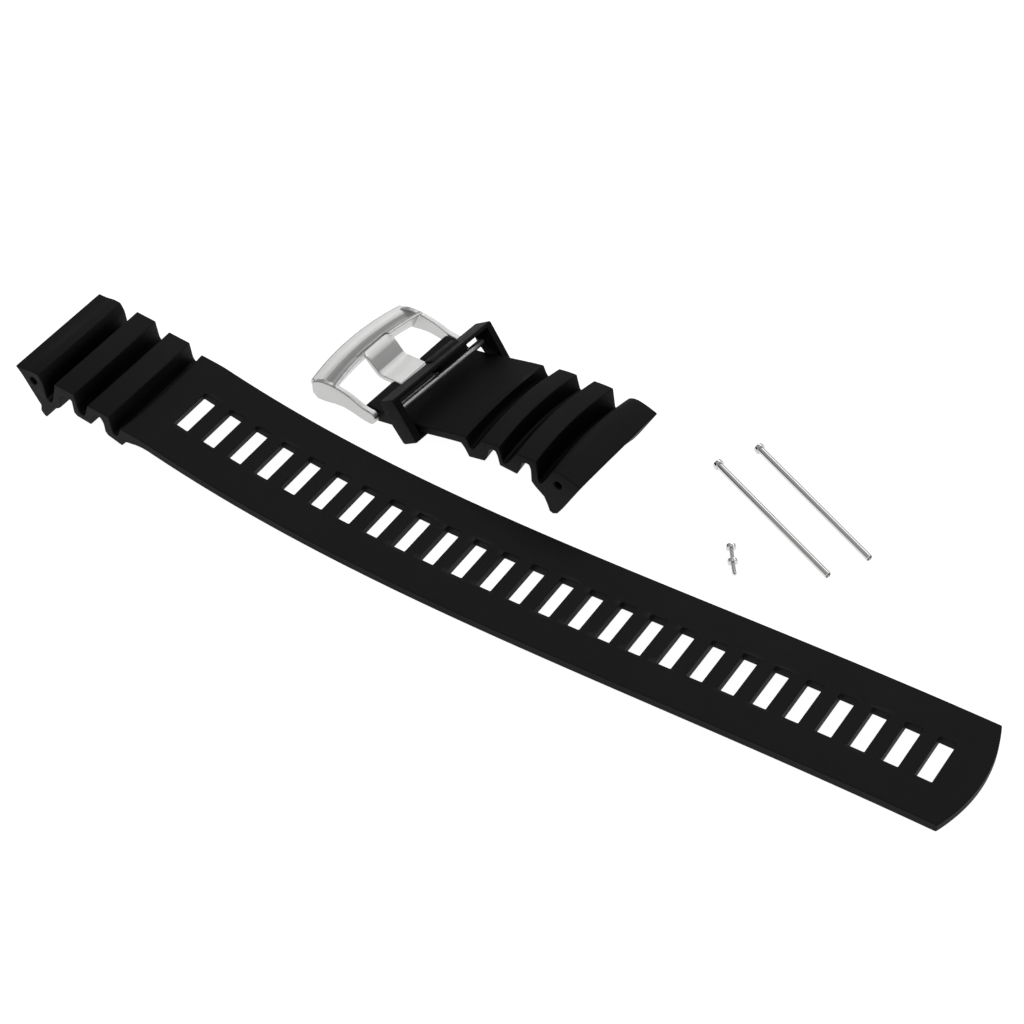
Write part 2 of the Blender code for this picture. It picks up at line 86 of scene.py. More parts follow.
SHORT_TOP = [(9.35, 11.6), (6.6, 12.45), (4.3, 12.8), (3.0, 12.55), (2.1, 12.0),
             (-0.2, 7.6), (-0.85, 7.0), (-1.35, 7.6), (-2.1, 12.5), (-4.4, 12.35),
             (-7.0, 11.95), (-9.2, 8.2), (-9.9, 7.4), (-10.6, 7.7), (-11.6, 11.25),
             (-13.9, 10.95), (-16.2, 10.4), (-18.2, 6.9), (-18.9, 6.6), (-19.5, 7.2),
             (-20.4, 9.2), (-22.6, 8.62), (-26.7, 7.37), (-38.0, 3.87), (-41.4, 3.45),
             (-47.0, 3.65), (-47.8, 2.95)]
SHORT_BOTTOM = [(-46.6, 1.3), (-45.3, 0.1), (-44.6, 0.1), (-40.3, 1.12), (-26.0, 5.5),
                (-21.7, 6.7), (-20.8, 5.9), (-19.5, 3.8), (-15.4, 5.0), (-14.9, 5.9),
                (-14.3, 8.6), (-13.6, 9.4), (-12.6, 9.5), (-12.1, 8.6), (-11.4, 6.05),
                (-6.9, 6.1), (-6.4, 7.3), (-5.6, 9.9), (-4.8, 10.6), (-3.9, 10.6),
                (-3.4, 9.6), (-3.2, 6.3), (-2.4, 5.4), (0.1, 3.7), (1.0, 1.9),
                (1.6, 0.3), (2.5, 0.05), (3.6, 0.7), (4.9, 2.9), (7.0, 7.0)]
SHORT_BORE = (3.6, 9.06)

# ---- buckle -------------------------------------------------------------------------------------
HINGE = (-45.1, 2.05)               # spring bar axis, in the short strap's side view
NOTCH_HALF = 4.9                    # notch in the barrel for the tongue
NOTCH_BACK = -42.7
ARM_IN = 14.35
ARM_OUT = 16.25
ARM_LEAN = 0.14                     # the arm's outer face leans in as it rises
ARM_SIDE = [(-47.0, 0.6), (-52.5, 1.45), (-57.6, 0.2), (-59.6, 0.0), (-61.2, 1.0),
            (-61.5, 3.5), (-59.6, 4.7), (-57.0, 5.2), (-54.0, 5.25), (-50.6, 4.8), (-47.2, 3.6)]
EYE_R = 1.5
BAR_SIDE = [(-56.3, 5.4), (-57.3, 2.8), (-58.6, 0.6), (-60.6, 0.25), (-62.6, 0.95),
            (-63.6, 2.5), (-63.55, 3.7), (-63.0, 4.1), (-62.0, 3.85), (-60.3, 3.9),
            (-58.4, 4.5), (-57.2, 5.3)]
BAR_BOW = 1.7                       # front bar curves back toward the strap at its ends
BAR_CROWN = 0.4
SEAT_HALF = 5.0                     # seat for the tongue tip, cut in the front bar
SEAT_BACK = -57.7
SEAT_Z = 4.55
TONGUE_HALF = 4.5
TONGUE_T = 1.1
TONGUE_TOP = [(-45.6, 3.42), (-48.6, 3.2), (-50.9, 2.95), (-51.7, 3.25), (-54.2, 5.75),
              (-55.1, 6.3), (-56.3, 6.45)]
TONGUE_EYE_R = 1.4

# ---- spring bar ---------------------------------------------------------------------------------
TUBE_R = 0.78
TUBE_HALF = 13.7
TUBE_BORE_R = 0.58
TUBE_LIP_R = 0.42
TUBE_LIP = 0.4
TIP_NOSE_R = 0.32
TIP_BODY_R = 0.45
TIP_BODY = (10.4, 13.15)
TIP_END = 15.5
BLIND_R = 0.5
BLIND_END = 15.65
BARREL_BORE_R = 0.93
SPRING_R = 0.36
SPRING_WIRE = 0.07
SPRING_HALF = 10.3
SPRING_TURNS = 14

# ---- keeper -------------------------------------------------------------------------------------
KEEPER_TOP_RIGHT = (-37.27, 11.83)  # upper corner of the loop on the case side
KEEPER_LEAN = 36.0                  # degrees from upright
KEEPER_YAW = -2.0                   # the loop sits askew, its far end toward the case
KEEPER_LEN = 10.75
KEEPER_DEPTH = 5.2
KEEPER_IN = 14.5                    # half widths at mid height
KEEPER_OUT = 16.15
KEEPER_FLARE = 0.3                  # the walls spread by this much to the foot, and close to the top
KEEPER_TOP_T = (0.8, 1.9)           # top bar, on its case side and on its buckle side
KEEPER_FOOT_GAP = 0.3               # between the loop's foot and the strap's underside
BLOCK_WIDE = (-0.7, 8.4)            # block under the top bar, nearer the far side
BLOCK_SIDE = [(0.5, 0.9), (2.0, 1.0), (2.7, 2.1), (2.7, 4.9), (2.2, 5.5), (-0.45, 5.5),
              (-0.45, 3.6), (0.3, 1.8)]
KEEPER_BAR_AT = (3.85, 4.15)        # down the wall and back from its case side
KEEPER_BAR_R = 0.8
KEEPER_BAR_END = 15.6               # half its length; its blind holes go a little deeper
KEEPER_BAR_HOLE_END = 15.75

# ---- loose hardware -----------------------------------------------------------------------------
PIN_R = 0.78
PIN_LEN = 38.3
PIN_HEAD_R = 1.2
PIN_HEAD_T = 0.95
PIN_HOLE_R = 0.55
PIN_HOLE_DEPTH = 5.0
SCREW_LEN = 3.7
SCREW_R = 0.5
SCREW_HEAD_R = 1.1
SCREW_HEAD_T = 0.9
SCREW_SLOT = 0.35
SCREW_SLOT_DEPTH = 0.4
THREAD_PITCH = 0.25
THREAD_DEPTH = 0.07

# ---- studio -------------------------------------------------------------------------------------
FLOOR_HALF = 3200.0
FLOOR_TOP = -0.02
HORIZON_GREY = 0.30
ZENITH_GREY = 0.45
STUDIO_CENTRE = (0.0, 0.0, 5.0)


# ---- node materials -----------------------------------------------------------------------------
class Nodes:
    """A material's node tree with short calls to add and join nodes."""

    def __init__(self, name):
        self.mat = bpy.data.materials.new(name)
        self.mat.use_nodes = True
        self.tree = self.mat.node_tree
        self.shader = self.tree.nodes["Principled BSDF"]
        self.place = self.add("ShaderNodeTexCoord").outputs["Object"]

    def add(self, kind, **settings):
        node = self.tree.nodes.new(kind)
        for key, value in settings.items():
            setattr(node, key, value)
        return node

    def link(self, out, into):
        self.tree.links.new(out, into)

    def noise(self, per_metre, detail=3.0, rough=0.55, stretch=None):
        source = self.place
        if stretch:
            mapping = self.add("ShaderNodeMapping")
            mapping.inputs["Scale"].default_value = stretch
            self.link(source, mapping.inputs["Vector"])
            source = mapping.outputs["Vector"]
        node = self.add("ShaderNodeTexNoise")
        node.inputs["Scale"].default_value = per_metre
        node.inputs["Detail"].default_value = detail
        node.inputs["Roughness"].default_value = rough
        self.link(source, node.inputs["Vector"])
        return node.outputs["Fac"]

    def span(self, value, low, high, start=0.0, end=1.0):
        node = self.add("ShaderNodeMapRange")
        node.inputs["From Min"].default_value = start
        node.inputs["From Max"].default_value = end
        node.inputs["To Min"].default_value = low
        node.inputs["To Max"].default_value = high
        self.link(value, node.inputs["Value"])
        return node.outputs["Result"]

    def blend(self, factor, low, high):
        node = self.add("ShaderNodeMix", data_type="RGBA")
        self.link(factor, node.inputs["Factor"])
        for slot, colour in ((node.inputs[6], low), (node.inputs[7], high)):
            if isinstance(colour, tuple):
                slot.default_value = (*colour, 1.0)
            else:
                self.link(colour, slot)
        return node.outputs[2]

    def edge_wear_and_highlight(self, start, end):
        """0 on flats, 1 on the sharp convex edges, which the materials paint paler; on the rubber this
        paler edge is a painted highlight.
        """
        point = self.add("ShaderNodeNewGeometry").outputs["Pointiness"]
        return self.span(point, 0.0, 1.0, start, end)

    def bump(self, height, distance, strength=1.0, under=None):
        node = self.add("ShaderNodeBump")
        node.inputs["Strength"].default_value = strength
        node.inputs["Distance"].default_value = distance
        self.link(height, node.inputs["Height"])
        if under:
            self.link(under, node.inputs["Normal"])
        return node.outputs["Normal"]

    def set(self, **values):
        for key, value in values.items():
            slot = self.shader.inputs[key.replace("_", " ")]
            if hasattr(value, "is_linked"):
                self.link(value, slot)
            else:
                slot.default_value = value


def rubber_material(name, dark, light):
    """Matt silicone with painted shade: its colour is darkened in the folds and hollows, and its sharp
    edges are painted a little paler as a highlight.
    """
    n = Nodes(name)
    cloud = n.noise(90.0, 4.0)
    grain = n.noise(9000.0, 2.0, 0.6)
    fine = n.noise(26000.0, 1.0)
    body = n.blend(n.span(cloud, 0.0, 1.0, 0.3, 0.7), dark, light)
    # Painted shade: ambient occlusion within 9 mm darkens the colour toward a near-black shade tone in
    # the folds' grooves and hollows, such as the strap under the keeper.
    painted_shade_ao = n.add("ShaderNodeAmbientOcclusion", samples=6)
    painted_shade_ao.inputs["Distance"].default_value = 9.0 * MM
    painted_shade_colour = tuple(0.05 * c for c in dark)
    body = n.blend(n.span(painted_shade_ao.outputs["AO"], 0.0, 1.0, 0.40, 0.95), painted_shade_colour, body)
    # Painted highlight: the sharp edges are painted paler, up to 1.9 times the light tone.
    edge = tuple(1.9 * c for c in light)
    colour = n.blend(n.edge_wear_and_highlight(0.52, 0.62), body, edge)
    rough = n.span(cloud, 0.50, 0.62, 0.3, 0.7)
    n.set(Base_Color=colour, Metallic=0.0, Roughness=rough, Specular_IOR_Level=0.09,
          Sheen_Weight=0.003, Sheen_Roughness=0.5)
    coarse = n.bump(grain, 0.000012, 0.7)
    n.set(Normal=n.bump(fine, 0.000004, 0.5, coarse))
    return n.mat


def acetal_material(name):
    n = Nodes(name)
    cloud = n.noise(160.0, 3.0)
    flow = n.noise(1500.0, 2.0, 0.5, (1.0, 0.15, 1.0))
    body = n.blend(cloud, (0.0008, 0.0008, 0.0009), (0.0014, 0.0014, 0.0015))
    colour = n.blend(n.edge_wear_and_highlight(0.53, 0.64), body, (0.004, 0.004, 0.0043))
    n.set(Base_Color=colour, Roughness=n.span(flow, 0.46, 0.58, 0.3, 0.7),
          Specular_IOR_Level=0.07)
    n.set(Normal=n.bump(n.noise(12000.0, 2.0), 0.000006, 0.6))
    return n.mat


def brushed_material(name, stretch, colour, rough):
    """Steel with fine brushing: noise drawn out along the brushing direction."""
    n = Nodes(name)
    lines = n.noise(5200.0, 3.0, 0.6, stretch)
    fine = n.noise(15000.0, 2.0, 0.6, stretch)
    cloud = n.noise(220.0, 3.0)
    tone = n.blend(n.span(lines, 0.0, 1.0, 0.35, 0.65), tuple(0.93 * c for c in colour), colour)
    shade = n.blend(n.span(cloud, 0.0, 1.0, 0.3, 0.7), tuple(0.95 * c for c in colour), tone)
    n.set(Base_Color=shade, Metallic=1.0, Roughness=n.span(lines, rough[0], rough[1], 0.3, 0.7))
    coarse = n.bump(lines, 0.0000008, 0.35)
    n.set(Normal=n.bump(fine, 0.0000005, 0.4, coarse))
    return n.mat


def polished_material(name, stretch=(1.0, 1.0, 1.0), rough=(0.08, 0.20)):
    n = Nodes(name)
    scuff = n.noise(2600.0, 4.0, 0.65, stretch)
    cloud = n.noise(400.0, 3.0)
    tone = n.blend(cloud, (0.58, 0.58, 0.575), (0.68, 0.68, 0.675))
    n.set(Base_Color=tone, Metallic=1.0, Roughness=n.span(scuff, rough[0], rough[1], 0.35, 0.7))
    n.set(Normal=n.bump(scuff, 0.000002, 0.35))
    return n.mat


RUBBER = rubber_material("silicone_rubber", (0.0060, 0.0060, 0.0063), (0.0082, 0.0082, 0.0086))
ACETAL = acetal_material("moulded_acetal")
BRUSHED_BAR = brushed_material("brushed_steel_frame", (1.0, 0.03, 1.0), (0.56, 0.56, 0.555),
                               (0.30, 0.38))
BRUSHED_PLATE = brushed_material("brushed_steel_tongue", (1.0, 0.03, 1.0), (0.60, 0.60, 0.595),
                                 (0.32, 0.42))
POLISHED = polished_material("polished_steel")
POLISHED_LONG = polished_material("polished_steel_turned", (0.06, 1.0, 1.0))
DRAWN = polished_material("drawn_steel_rod", (1.0, 0.06, 1.0), (0.36, 0.50))

SHORT_MATRIX = (Matrix.Translation(Vector((*SHORT_PLACE, 0.0)) * MM)
                @ Matrix.Rotation(math.radians(SHORT_HEADING), 4, "Z"))
LONG_MATRIX = Matrix.Translation(Vector((*LONG_PLACE, 0.0)) * MM)


# ---- mesh helpers -------------------------------------------------------------------------------
def mesh_object(name, verts, faces):
    mesh = bpy.data.meshes.new(name)
    bm = bmesh.new()
    points = [bm.verts.new(Vector(v) * MM) for v in verts]
    for face in faces:
        bm.faces.new([points[i] for i in face])
    bmesh.ops.recalc_face_normals(bm, faces=bm.faces)
    bm.to_mesh(mesh)
    bm.free()
    obj = bpy.data.objects.new(name, mesh)
    bpy.context.scene.collection.objects.link(obj)
    return obj


def settle(obj):
    """Turn the object's modifiers into plain mesh."""
    bpy.context.view_layer.update()
    graph = bpy.context.evaluated_depsgraph_get()
    mesh = bpy.data.meshes.new_from_object(obj.evaluated_get(graph))
    obj.modifiers.clear()
    obj.data = mesh
    mesh.name = obj.name
    return obj


def boolean(obj, shape, operation="DIFFERENCE"):
    tool = mesh_object("tool", *shape)
    mod = obj.modifiers.new("cut", "BOOLEAN")
    mod.operation = operation
    mod.solver = "EXACT"
    mod.object = tool
    settle(obj)
    bpy.data.objects.remove(tool, do_unlink=True)
    return obj


def bevel(obj, width, segments=2, angle=32.0):
    mod = obj.modifiers.new("bevel", "BEVEL")
    mod.width = width * MM
    mod.segments = segments
    mod.limit_method = "ANGLE"
    mod.angle_limit = math.radians(angle)
    mod.use_clamp_overlap = True
    return settle(obj)


def soft_solid(obj, voxel, rounds):
    """Melt joined solids into one casting with soft edges."""
    mod = obj.modifiers.new("remesh", "REMESH")
    mod.mode = "VOXEL"
    mod.voxel_size = voxel * MM
    settle(obj)
    mod = obj.modifiers.new("smooth", "SMOOTH")
    mod.factor = 0.5
    mod.iterations = rounds
    return settle(obj)


def finish_piece(obj, mat, body, node, matrix=None, sharp=38.0, weighted=True):
    if matrix is not None:
        obj.data.transform(matrix)
    obj.data.materials.clear()
    obj.data.materials.append(mat)
    for poly in obj.data.polygons:
        poly.use_smooth = True
    obj.data.set_sharp_from_angle(angle=math.radians(sharp))
    if weighted:
        mod = obj.modifiers.new("normals", "WEIGHTED_NORMAL")
        mod.keep_sharp = True
    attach(obj, body)
    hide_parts(node)
    return obj


def soften(points, radius=0.35, gentle=26.0, step=12.0):
    """Round an outline: gentle bends turn into curves, sharper corners get this radius."""
    out = []
    for i, point in enumerate(points):
        p = Vector(point)
        u = Vector(points[i - 1]) - p
        v = Vector(points[(i + 1) % len(points)]) - p
        turn = math.pi - u.angle(v)
        if turn < 0.02:
            out.append(tuple(p))
            continue
        reach = 0.46 * min(u.length, v.length)
        if math.degrees(turn) > gentle:
            reach = min(reach, radius * math.tan(turn / 2))
        start, end = p + u.normalized() * reach, p + v.normalized() * reach
        steps = max(2, math.ceil(math.degrees(turn) / step))
        for k in range(steps + 1):
            t = k / steps
            out.append(tuple(start * (1 - t) ** 2 + p * (2 * t * (1 - t)) + end * t * t))
    return out


def inset(points, depth):
    """Move a closed outline inward by a small depth."""
    count = len(points)
    area = 0.0
    for i in range(count):
        (ax, az), (bx, bz) = points[i - 1], points[i]
        area += ax * bz - bx * az
    side = depth if area > 0 else -depth
    out = []
    for i, (x, z) in enumerate(points):
        (ax, az), (bx, bz) = points[i - 1], points[(i + 1) % count]
        one = Vector((az - z, x - ax)).normalized()
        two = Vector((z - bz, bx - x)).normalized()
        push = (one + two) * (side / max(0.5, 1.0 + one.dot(two)))
        out.append((x + push.x, z + push.y))
    return out


def carry(outline, low, high, count, edge=EDGE_R, warp=None, turns=4):
    """Carry a side outline across the width; its two side edges are rounded by edge."""
    rows = []
    for k in range(turns + 1):
        a = math.pi / 2 * k / turns
        rows.append((edge * (1 - math.cos(a)), edge * (1 - math.sin(a))))
    stations = [(low + y, d) for y, d in rows]
    inner_low, inner_high = low + edge, high - edge
    for k in range(1, count):
        stations.append((inner_low + (inner_high - inner_low) * k / count, 0.0))
    stations += [(high - y, d) for y, d in reversed(rows)]
    verts, faces = [], []
    size = len(outline)
    for y, depth in stations:
        ring = inset(outline, depth) if depth > 1e-6 else outline
        verts += [warp(x, y, z) if warp else (x, y, z) for x, z in ring]
    faces.append(list(range(size)))
    faces.append(list(range((len(stations) - 1) * size, len(stations) * size)))
    for row in range(len(stations) - 1):
        for i in range(size):
            j = (i + 1) % size
            a, b = row * size, (row + 1) * size
            faces.append([a + i, a + j, b + j, b + i])
    return verts, faces


def lathe(rings, axis, sides, centre=(0.0, 0.0, 0.0), wave=None):
    """Closed solid of revolution from (along, radius) rings; a zero radius closes an end."""
    verts, faces, loops = [], [], []
    for along, radius in rings:
        loop = []
        for k in range(sides if radius > 0 else 1):
            a = 2 * math.pi * (k + 0.5) / sides
            r = radius + (wave(along, a) if wave and radius > 0 else 0.0)
            across = (r * math.cos(a), r * math.sin(a))
            point = (along, *across) if axis == "X" else (across[0], along, across[1])
            loop.append(len(verts))
            verts.append(tuple(p + c for p, c in zip(point, centre)))
        loops.append(loop)
    for one, two in zip(loops, loops[1:]):
        for k in range(sides):
            n = (k + 1) % sides
            quad = [one[k % len(one)], one[n % len(one)], two[n % len(two)], two[k % len(two)]]
            faces.append(list(dict.fromkeys(quad)))
    return verts, faces


def box(x, y, z):
    verts = [(x[i], y[j], z[k]) for i in (0, 1) for j in (0, 1) for k in (0, 1)]
    faces = [(0, 1, 3, 2), (4, 6, 7, 5), (0, 4, 5, 1), (2, 3, 7, 6), (0, 2, 6, 4), (1, 5, 7, 3)]
    return verts, faces


def together(pieces):
    verts, faces = [], []
    for v, f in pieces:
        faces += [[i + len(verts) for i in face] for face in f]
        verts += v
    return verts, faces


def fold_shape(x, far_end, case_end):
    """0 on the flat part and on the lug's edge, 1 over the folds."""
    rise = min(1.0, max(0.0, (x - far_end) / (2.0 if case_end > far_end else -2.0)))
    fall = min(1.0, max(0.0, (case_end - x) / (5.0 if case_end > far_end else -5.0)))
    return rise * rise * (3 - 2 * rise) * fall


def dome(y):
    return 1.0 - (2.0 * y / STRAP_W) ** 2


# ---- long strap ---------------------------------------------------------------------------------
def blade_slope(length):
    t = -length / BEND_SPAN
    return math.radians(sum(c * t ** k for k, c in enumerate(BEND)))


def blade_point(length):
    """Top of the blade at a length along it from the last slot, negative toward the lug."""
    steps = 60
    slopes = [blade_slope(length * (i + 0.5) / steps) for i in range(steps)]
    return (sum(math.cos(a) for a in slopes) * length / steps,
            BLADE_Z - sum(math.sin(a) for a in slopes) * length / steps)


def blade_outline():
    lengths = [SLOT_PITCH * (0.5 - i / 2) for i in range(2 * SLOT_COUNT, 1, -1)]
    top, under = [], []
    for length in lengths + [SLOT_PITCH / 2, TIP_EDGE]:
        x, z = blade_point(length)
        a = blade_slope(length)
        top.append((x, z))
        under.append((x - STRAP_T * math.sin(a), z - STRAP_T * math.cos(a)))
    return top + under[::-1]


def long_warp(x, y, z):
    if x > 4.0:
        return (x + TIP_ARC * dome(y), y, z)
    bow = FOLD_BOW * fold_shape(x, -180.0, -212.1)
    rise = FOLD_CROWN * fold_shape(x, -184.0, -212.1)
    return (x + bow * dome(y), y, z + rise * dome(y))


def slot_cutter(length):
    """A slot through the blade whose edges are broken by a small lip on both faces."""
    x, z = blade_point(length)
    tilt = blade_slope(length)
    levels = [(1.0, SLOT_LIP + 1.0), (0.0, SLOT_LIP), (-SLOT_LIP * 0.35, SLOT_LIP * 0.35),
              (-SLOT_LIP, 0.0), (SLOT_LIP - STRAP_T, 0.0),
              (SLOT_LIP * 0.35 - STRAP_T, SLOT_LIP * 0.35), (-STRAP_T, SLOT_LIP),
              (-STRAP_T - 1.0, SLOT_LIP + 1.0)]
    verts, faces = [], []
    corners = [(sx, sy) for sx, sy in ((1, 1), (-1, 1), (-1, -1), (1, -1))]
    count = 0
    for depth, grow in levels:
        ring = []
        for q, (sx, sy) in enumerate(corners):
            for k in range(4):
                a = math.pi / 2 * (q + k / 3)
                ring.append((sx * (SLOT_LEN / 2 - SLOT_ROUND) + (SLOT_ROUND + grow) * math.cos(a),
                             sy * (SLOT_WID / 2 - SLOT_ROUND) + (SLOT_ROUND + grow) * math.sin(a)))
        count = len(ring)
        for a, b in ring:
            verts.append((x + a * math.cos(tilt) + depth * math.sin(tilt), b,
                          z - a * math.sin(tilt) + depth * math.cos(tilt)))
    faces.append(list(range(count)))
    faces.append(list(range(len(verts) - count, len(verts))))
    for row in range(len(levels) - 1):
        for i in range(count):
            j = (i + 1) % count
            faces.append([row * count + i, row * count + j,
                          (row + 1) * count + j, (row + 1) * count + i])
    return verts, faces


def lug_bore(spot):
    """The pin hole, with a small countersink at each cheek."""
    half = STRAP_W / 2
    rings = [(-16, 0), (-16, BORE_R + 2.2), (-half, BORE_R + 0.2), (-half + 0.2, BORE_R),
             (half - 0.2, BORE_R), (half, BORE_R + 0.2), (16, BORE_R + 2.2), (16, 0)]
    return lathe(rings, "Y", 40, (spot[0], 0.0, spot[1]))


long_outline = soften(LONG_TOP + blade_outline() + LONG_BOTTOM)
long_strap = mesh_object("strap_long", *carry(long_outline, -STRAP_W / 2, STRAP_W / 2, 28,
                                                  warp=long_warp))
boolean(long_strap, together([slot_cutter(-SLOT_PITCH * i) for i in range(SLOT_COUNT)]))
boolean(long_strap, lug_bore(LONG_BORE))
finish_piece(long_strap, RUBBER, "long_strap", "long_strap", LONG_MATRIX)


# ---- short strap --------------------------------------------------------------------------------
def short_warp(x, y, z):
    k = fold_shape(x, -21.5, 9.35)
    return (x - FOLD_BOW * dome(y) * k, y, z + FOLD_CROWN * dome(y) * k)


def across_hinge(rings, sides):
    return lathe(rings, "Y", sides, (HINGE[0], 0.0, HINGE[1]))


short_outline = soften(SHORT_TOP + SHORT_BOTTOM)
short_strap = mesh_object("strap_short", *carry(short_outline, -STRAP_W / 2, STRAP_W / 2, 28,
                                                    warp=short_warp))
boolean(short_strap, box((-50.0, NOTCH_BACK), (-NOTCH_HALF, NOTCH_HALF), (-2.0, 6.0)))
barrel = [(-16, 0), (-16, BARREL_BORE_R), (16, BARREL_BORE_R), (16, 0)]
boolean(short_strap, across_hinge(barrel, 40))
boolean(short_strap, lug_bore(SHORT_BORE))
finish_piece(short_strap, RUBBER, "short_strap", "short_strap", SHORT_MATRIX)


# ---- buckle frame -------------------------------------------------------------------------------
def arm(side):
    """The arm's side view runs into the round eye without a step."""
    eye = []
    for k in range(17):
        a = math.radians(-100 + 11.25 * k)
        eye.append((HINGE[0] + EYE_R * math.cos(a), HINGE[1] + EYE_R * math.sin(a)))

    def warp(x, y, z):
        lean = ARM_LEAN * z * (y - ARM_IN) / (ARM_OUT - ARM_IN)
        return (x, side * (y - lean), z)

    return carry(soften(ARM_SIDE + eye[::-1], 0.6, 30.0), ARM_IN, ARM_OUT, 4, 0.25, warp)


def bar_warp(x, y, z):
    k = (y / 16.0) ** 2
    return (x + BAR_BOW * k, y, z + BAR_CROWN * (1.0 - k))


bar_shape = carry(soften(BAR_SIDE, 0.5, 40.0), -15.4, 15.4, 40, 0.05, bar_warp)
buckle_frame = mesh_object("buckle_bow", *bar_shape)
boolean(buckle_frame, arm(-1), "UNION")
boolean(buckle_frame, arm(1), "UNION")
boolean(buckle_frame, box((SEAT_BACK, -54.0), (-SEAT_HALF, SEAT_HALF), (SEAT_Z, 8.0)))
blind = together([across_hinge([(s * 13, 0), (s * 13, BLIND_R), (s * BLIND_END, BLIND_R),
                                (s * BLIND_END, 0)], 24) for s in (-1, 1)])
boolean(buckle_frame, blind)
soft_solid(buckle_frame, 0.10, 5)
finish_piece(buckle_frame, BRUSHED_BAR, "buckle_frame", "buckle_frame",
             SHORT_MATRIX, 60.0, False)

# ---- buckle tongue ------------------------------------------------------------------------------
tip_x, tip_z = TONGUE_TOP[-1]
tongue_outline = TONGUE_TOP + [(tip_x - 0.35, tip_z - 0.45), (tip_x, tip_z - TONGUE_T)]
for (ax, az), (bx, bz), (cx, cz) in reversed(list(zip(TONGUE_TOP, TONGUE_TOP[1:], TONGUE_TOP[2:]))):
    run = Vector((cx - ax, cz - az)).normalized()
    tongue_outline.append((bx - TONGUE_T * run.y, bz + TONGUE_T * run.x))
tongue_outline.append((TONGUE_TOP[0][0], TONGUE_TOP[0][1] - TONGUE_T))


def tongue_warp(x, y, z):
    """The tip's two corners are rounded off."""
    over = max(0.0, (abs(y) - TONGUE_HALF + 1.3) / 1.3)
    near_tip = min(1.0, max(0.0, (tip_x + 1.4 - x) / 1.4))
    return (x + 1.1 * over ** 2.5 * near_tip, y, z)


tongue = mesh_object("buckle_prong", *carry(soften(tongue_outline, 0.4, 50.0), -TONGUE_HALF,
                                            TONGUE_HALF, 20, 0.18, tongue_warp))
eye_rings = [(-TONGUE_HALF, 0), (-TONGUE_HALF, TONGUE_EYE_R - 0.15),
             (-TONGUE_HALF + 0.15, TONGUE_EYE_R), (TONGUE_HALF - 0.15, TONGUE_EYE_R),
             (TONGUE_HALF, TONGUE_EYE_R - 0.15), (TONGUE_HALF, 0)]
boolean(tongue, across_hinge(eye_rings, 40), "UNION")
eye_hole = [(-6, 0), (-6, BARREL_BORE_R), (6, BARREL_BORE_R), (6, 0)]
boolean(tongue, across_hinge(eye_hole, 40))
finish_piece(tongue, BRUSHED_PLATE, "buckle_tongue", "buckle_tongue", SHORT_MATRIX)

# ---- spring bar ---------------------------------------------------------------------------------
lip_in = TUBE_HALF - TUBE_LIP
tube_rings = [(-TUBE_HALF, TUBE_LIP_R), (-TUBE_HALF, TUBE_R - 0.12), (-TUBE_HALF + 0.12, TUBE_R),
              (TUBE_HALF - 0.12, TUBE_R), (TUBE_HALF, TUBE_R - 0.12), (TUBE_HALF, TUBE_LIP_R),
              (lip_in, TUBE_LIP_R), (lip_in, TUBE_BORE_R), (-lip_in, TUBE_BORE_R),
              (-lip_in, TUBE_LIP_R), (-TUBE_HALF, TUBE_LIP_R)]
tube = mesh_object("bar_tube", *across_hinge(tube_rings, 40))
bm = bmesh.new()
bm.from_mesh(tube.data)
bmesh.ops.remove_doubles(bm, verts=bm.verts, dist=1e-6)
bmesh.ops.recalc_face_normals(bm, faces=bm.faces)
bm.to_mesh(tube.data)
bm.free()
finish_piece(tube, POLISHED, "short_strap", "spring_bar_tube", SHORT_MATRIX)

for node, side in (("spring_bar_tip_near", -1), ("spring_bar_tip_far", 1)):
    rings = [(TIP_BODY[0], 0), (TIP_BODY[0], TIP_BODY_R - 0.08), (TIP_BODY[0] + 0.08, TIP_BODY_R),
             (TIP_BODY[1] - 0.08, TIP_BODY_R), (TIP_BODY[1], TIP_BODY_R - 0.08),
             (TIP_BODY[1], TIP_NOSE_R), (TIP_END - 0.15, TIP_NOSE_R),
             (TIP_END - 0.04, 0.26), (TIP_END, 0.15), (TIP_END, 0)]
    tip = mesh_object(node.replace("spring_", ""),
                      *across_hinge([(side * along, r) for along, r in rings], 32))
    finish_piece(tip, POLISHED, node, node, SHORT_MATRIX)

coil_verts, coil_faces = [], []
coil_steps, wire_sides = SPRING_TURNS * 24, 10
for k in range(coil_steps + 1):
    a = 2 * math.pi * k / 24
    along = (2 * k / coil_steps - 1) * SPRING_HALF
    for s in range(wire_sides):
        b = 2 * math.pi * s / wire_sides
        reach = SPRING_R + SPRING_WIRE * math.cos(b)
        coil_verts.append((HINGE[0] + reach * math.cos(a), along + SPRING_WIRE * math.sin(b),
                           HINGE[1] + reach * math.sin(a)))
for k in range(coil_steps):
    for s in range(wire_sides):
        t = (s + 1) % wire_sides
        coil_faces.append([k * wire_sides + s, k * wire_sides + t,
                           (k + 1) * wire_sides + t, (k + 1) * wire_sides + s])
coil_faces.append(list(range(wire_sides)))
coil_faces.append(list(range(coil_steps * wire_sides, (coil_steps + 1) * wire_sides)))
coil = mesh_object("bar_coil", coil_verts, coil_faces)
finish_piece(coil, POLISHED, "short_strap", "spring_bar_spring", SHORT_MATRIX)


# ---- keeper -------------------------------------------------------------------------------------
def keeper_point(down, back):
    """A point of the loop's side view: down the wall, and back toward the buckle."""
    a = math.radians(KEEPER_LEAN)
    return (KEEPER_TOP_RIGHT[0] + down * math.sin(a) - back * math.cos(a),
            KEEPER_TOP_RIGHT[1] - down * math.cos(a) - back * math.sin(a))


def keeper_flare(x, y, z):
    """The side walls lean: closer at the top bar, wider at the foot."""
    drop = (KEEPER_TOP_RIGHT[1] - z) / (KEEPER_LEN * math.cos(math.radians(KEEPER_LEAN)))
    return (x, y + math.copysign(KEEPER_FLARE * min(1.0, 2.0 * drop - 1.0), y), z)


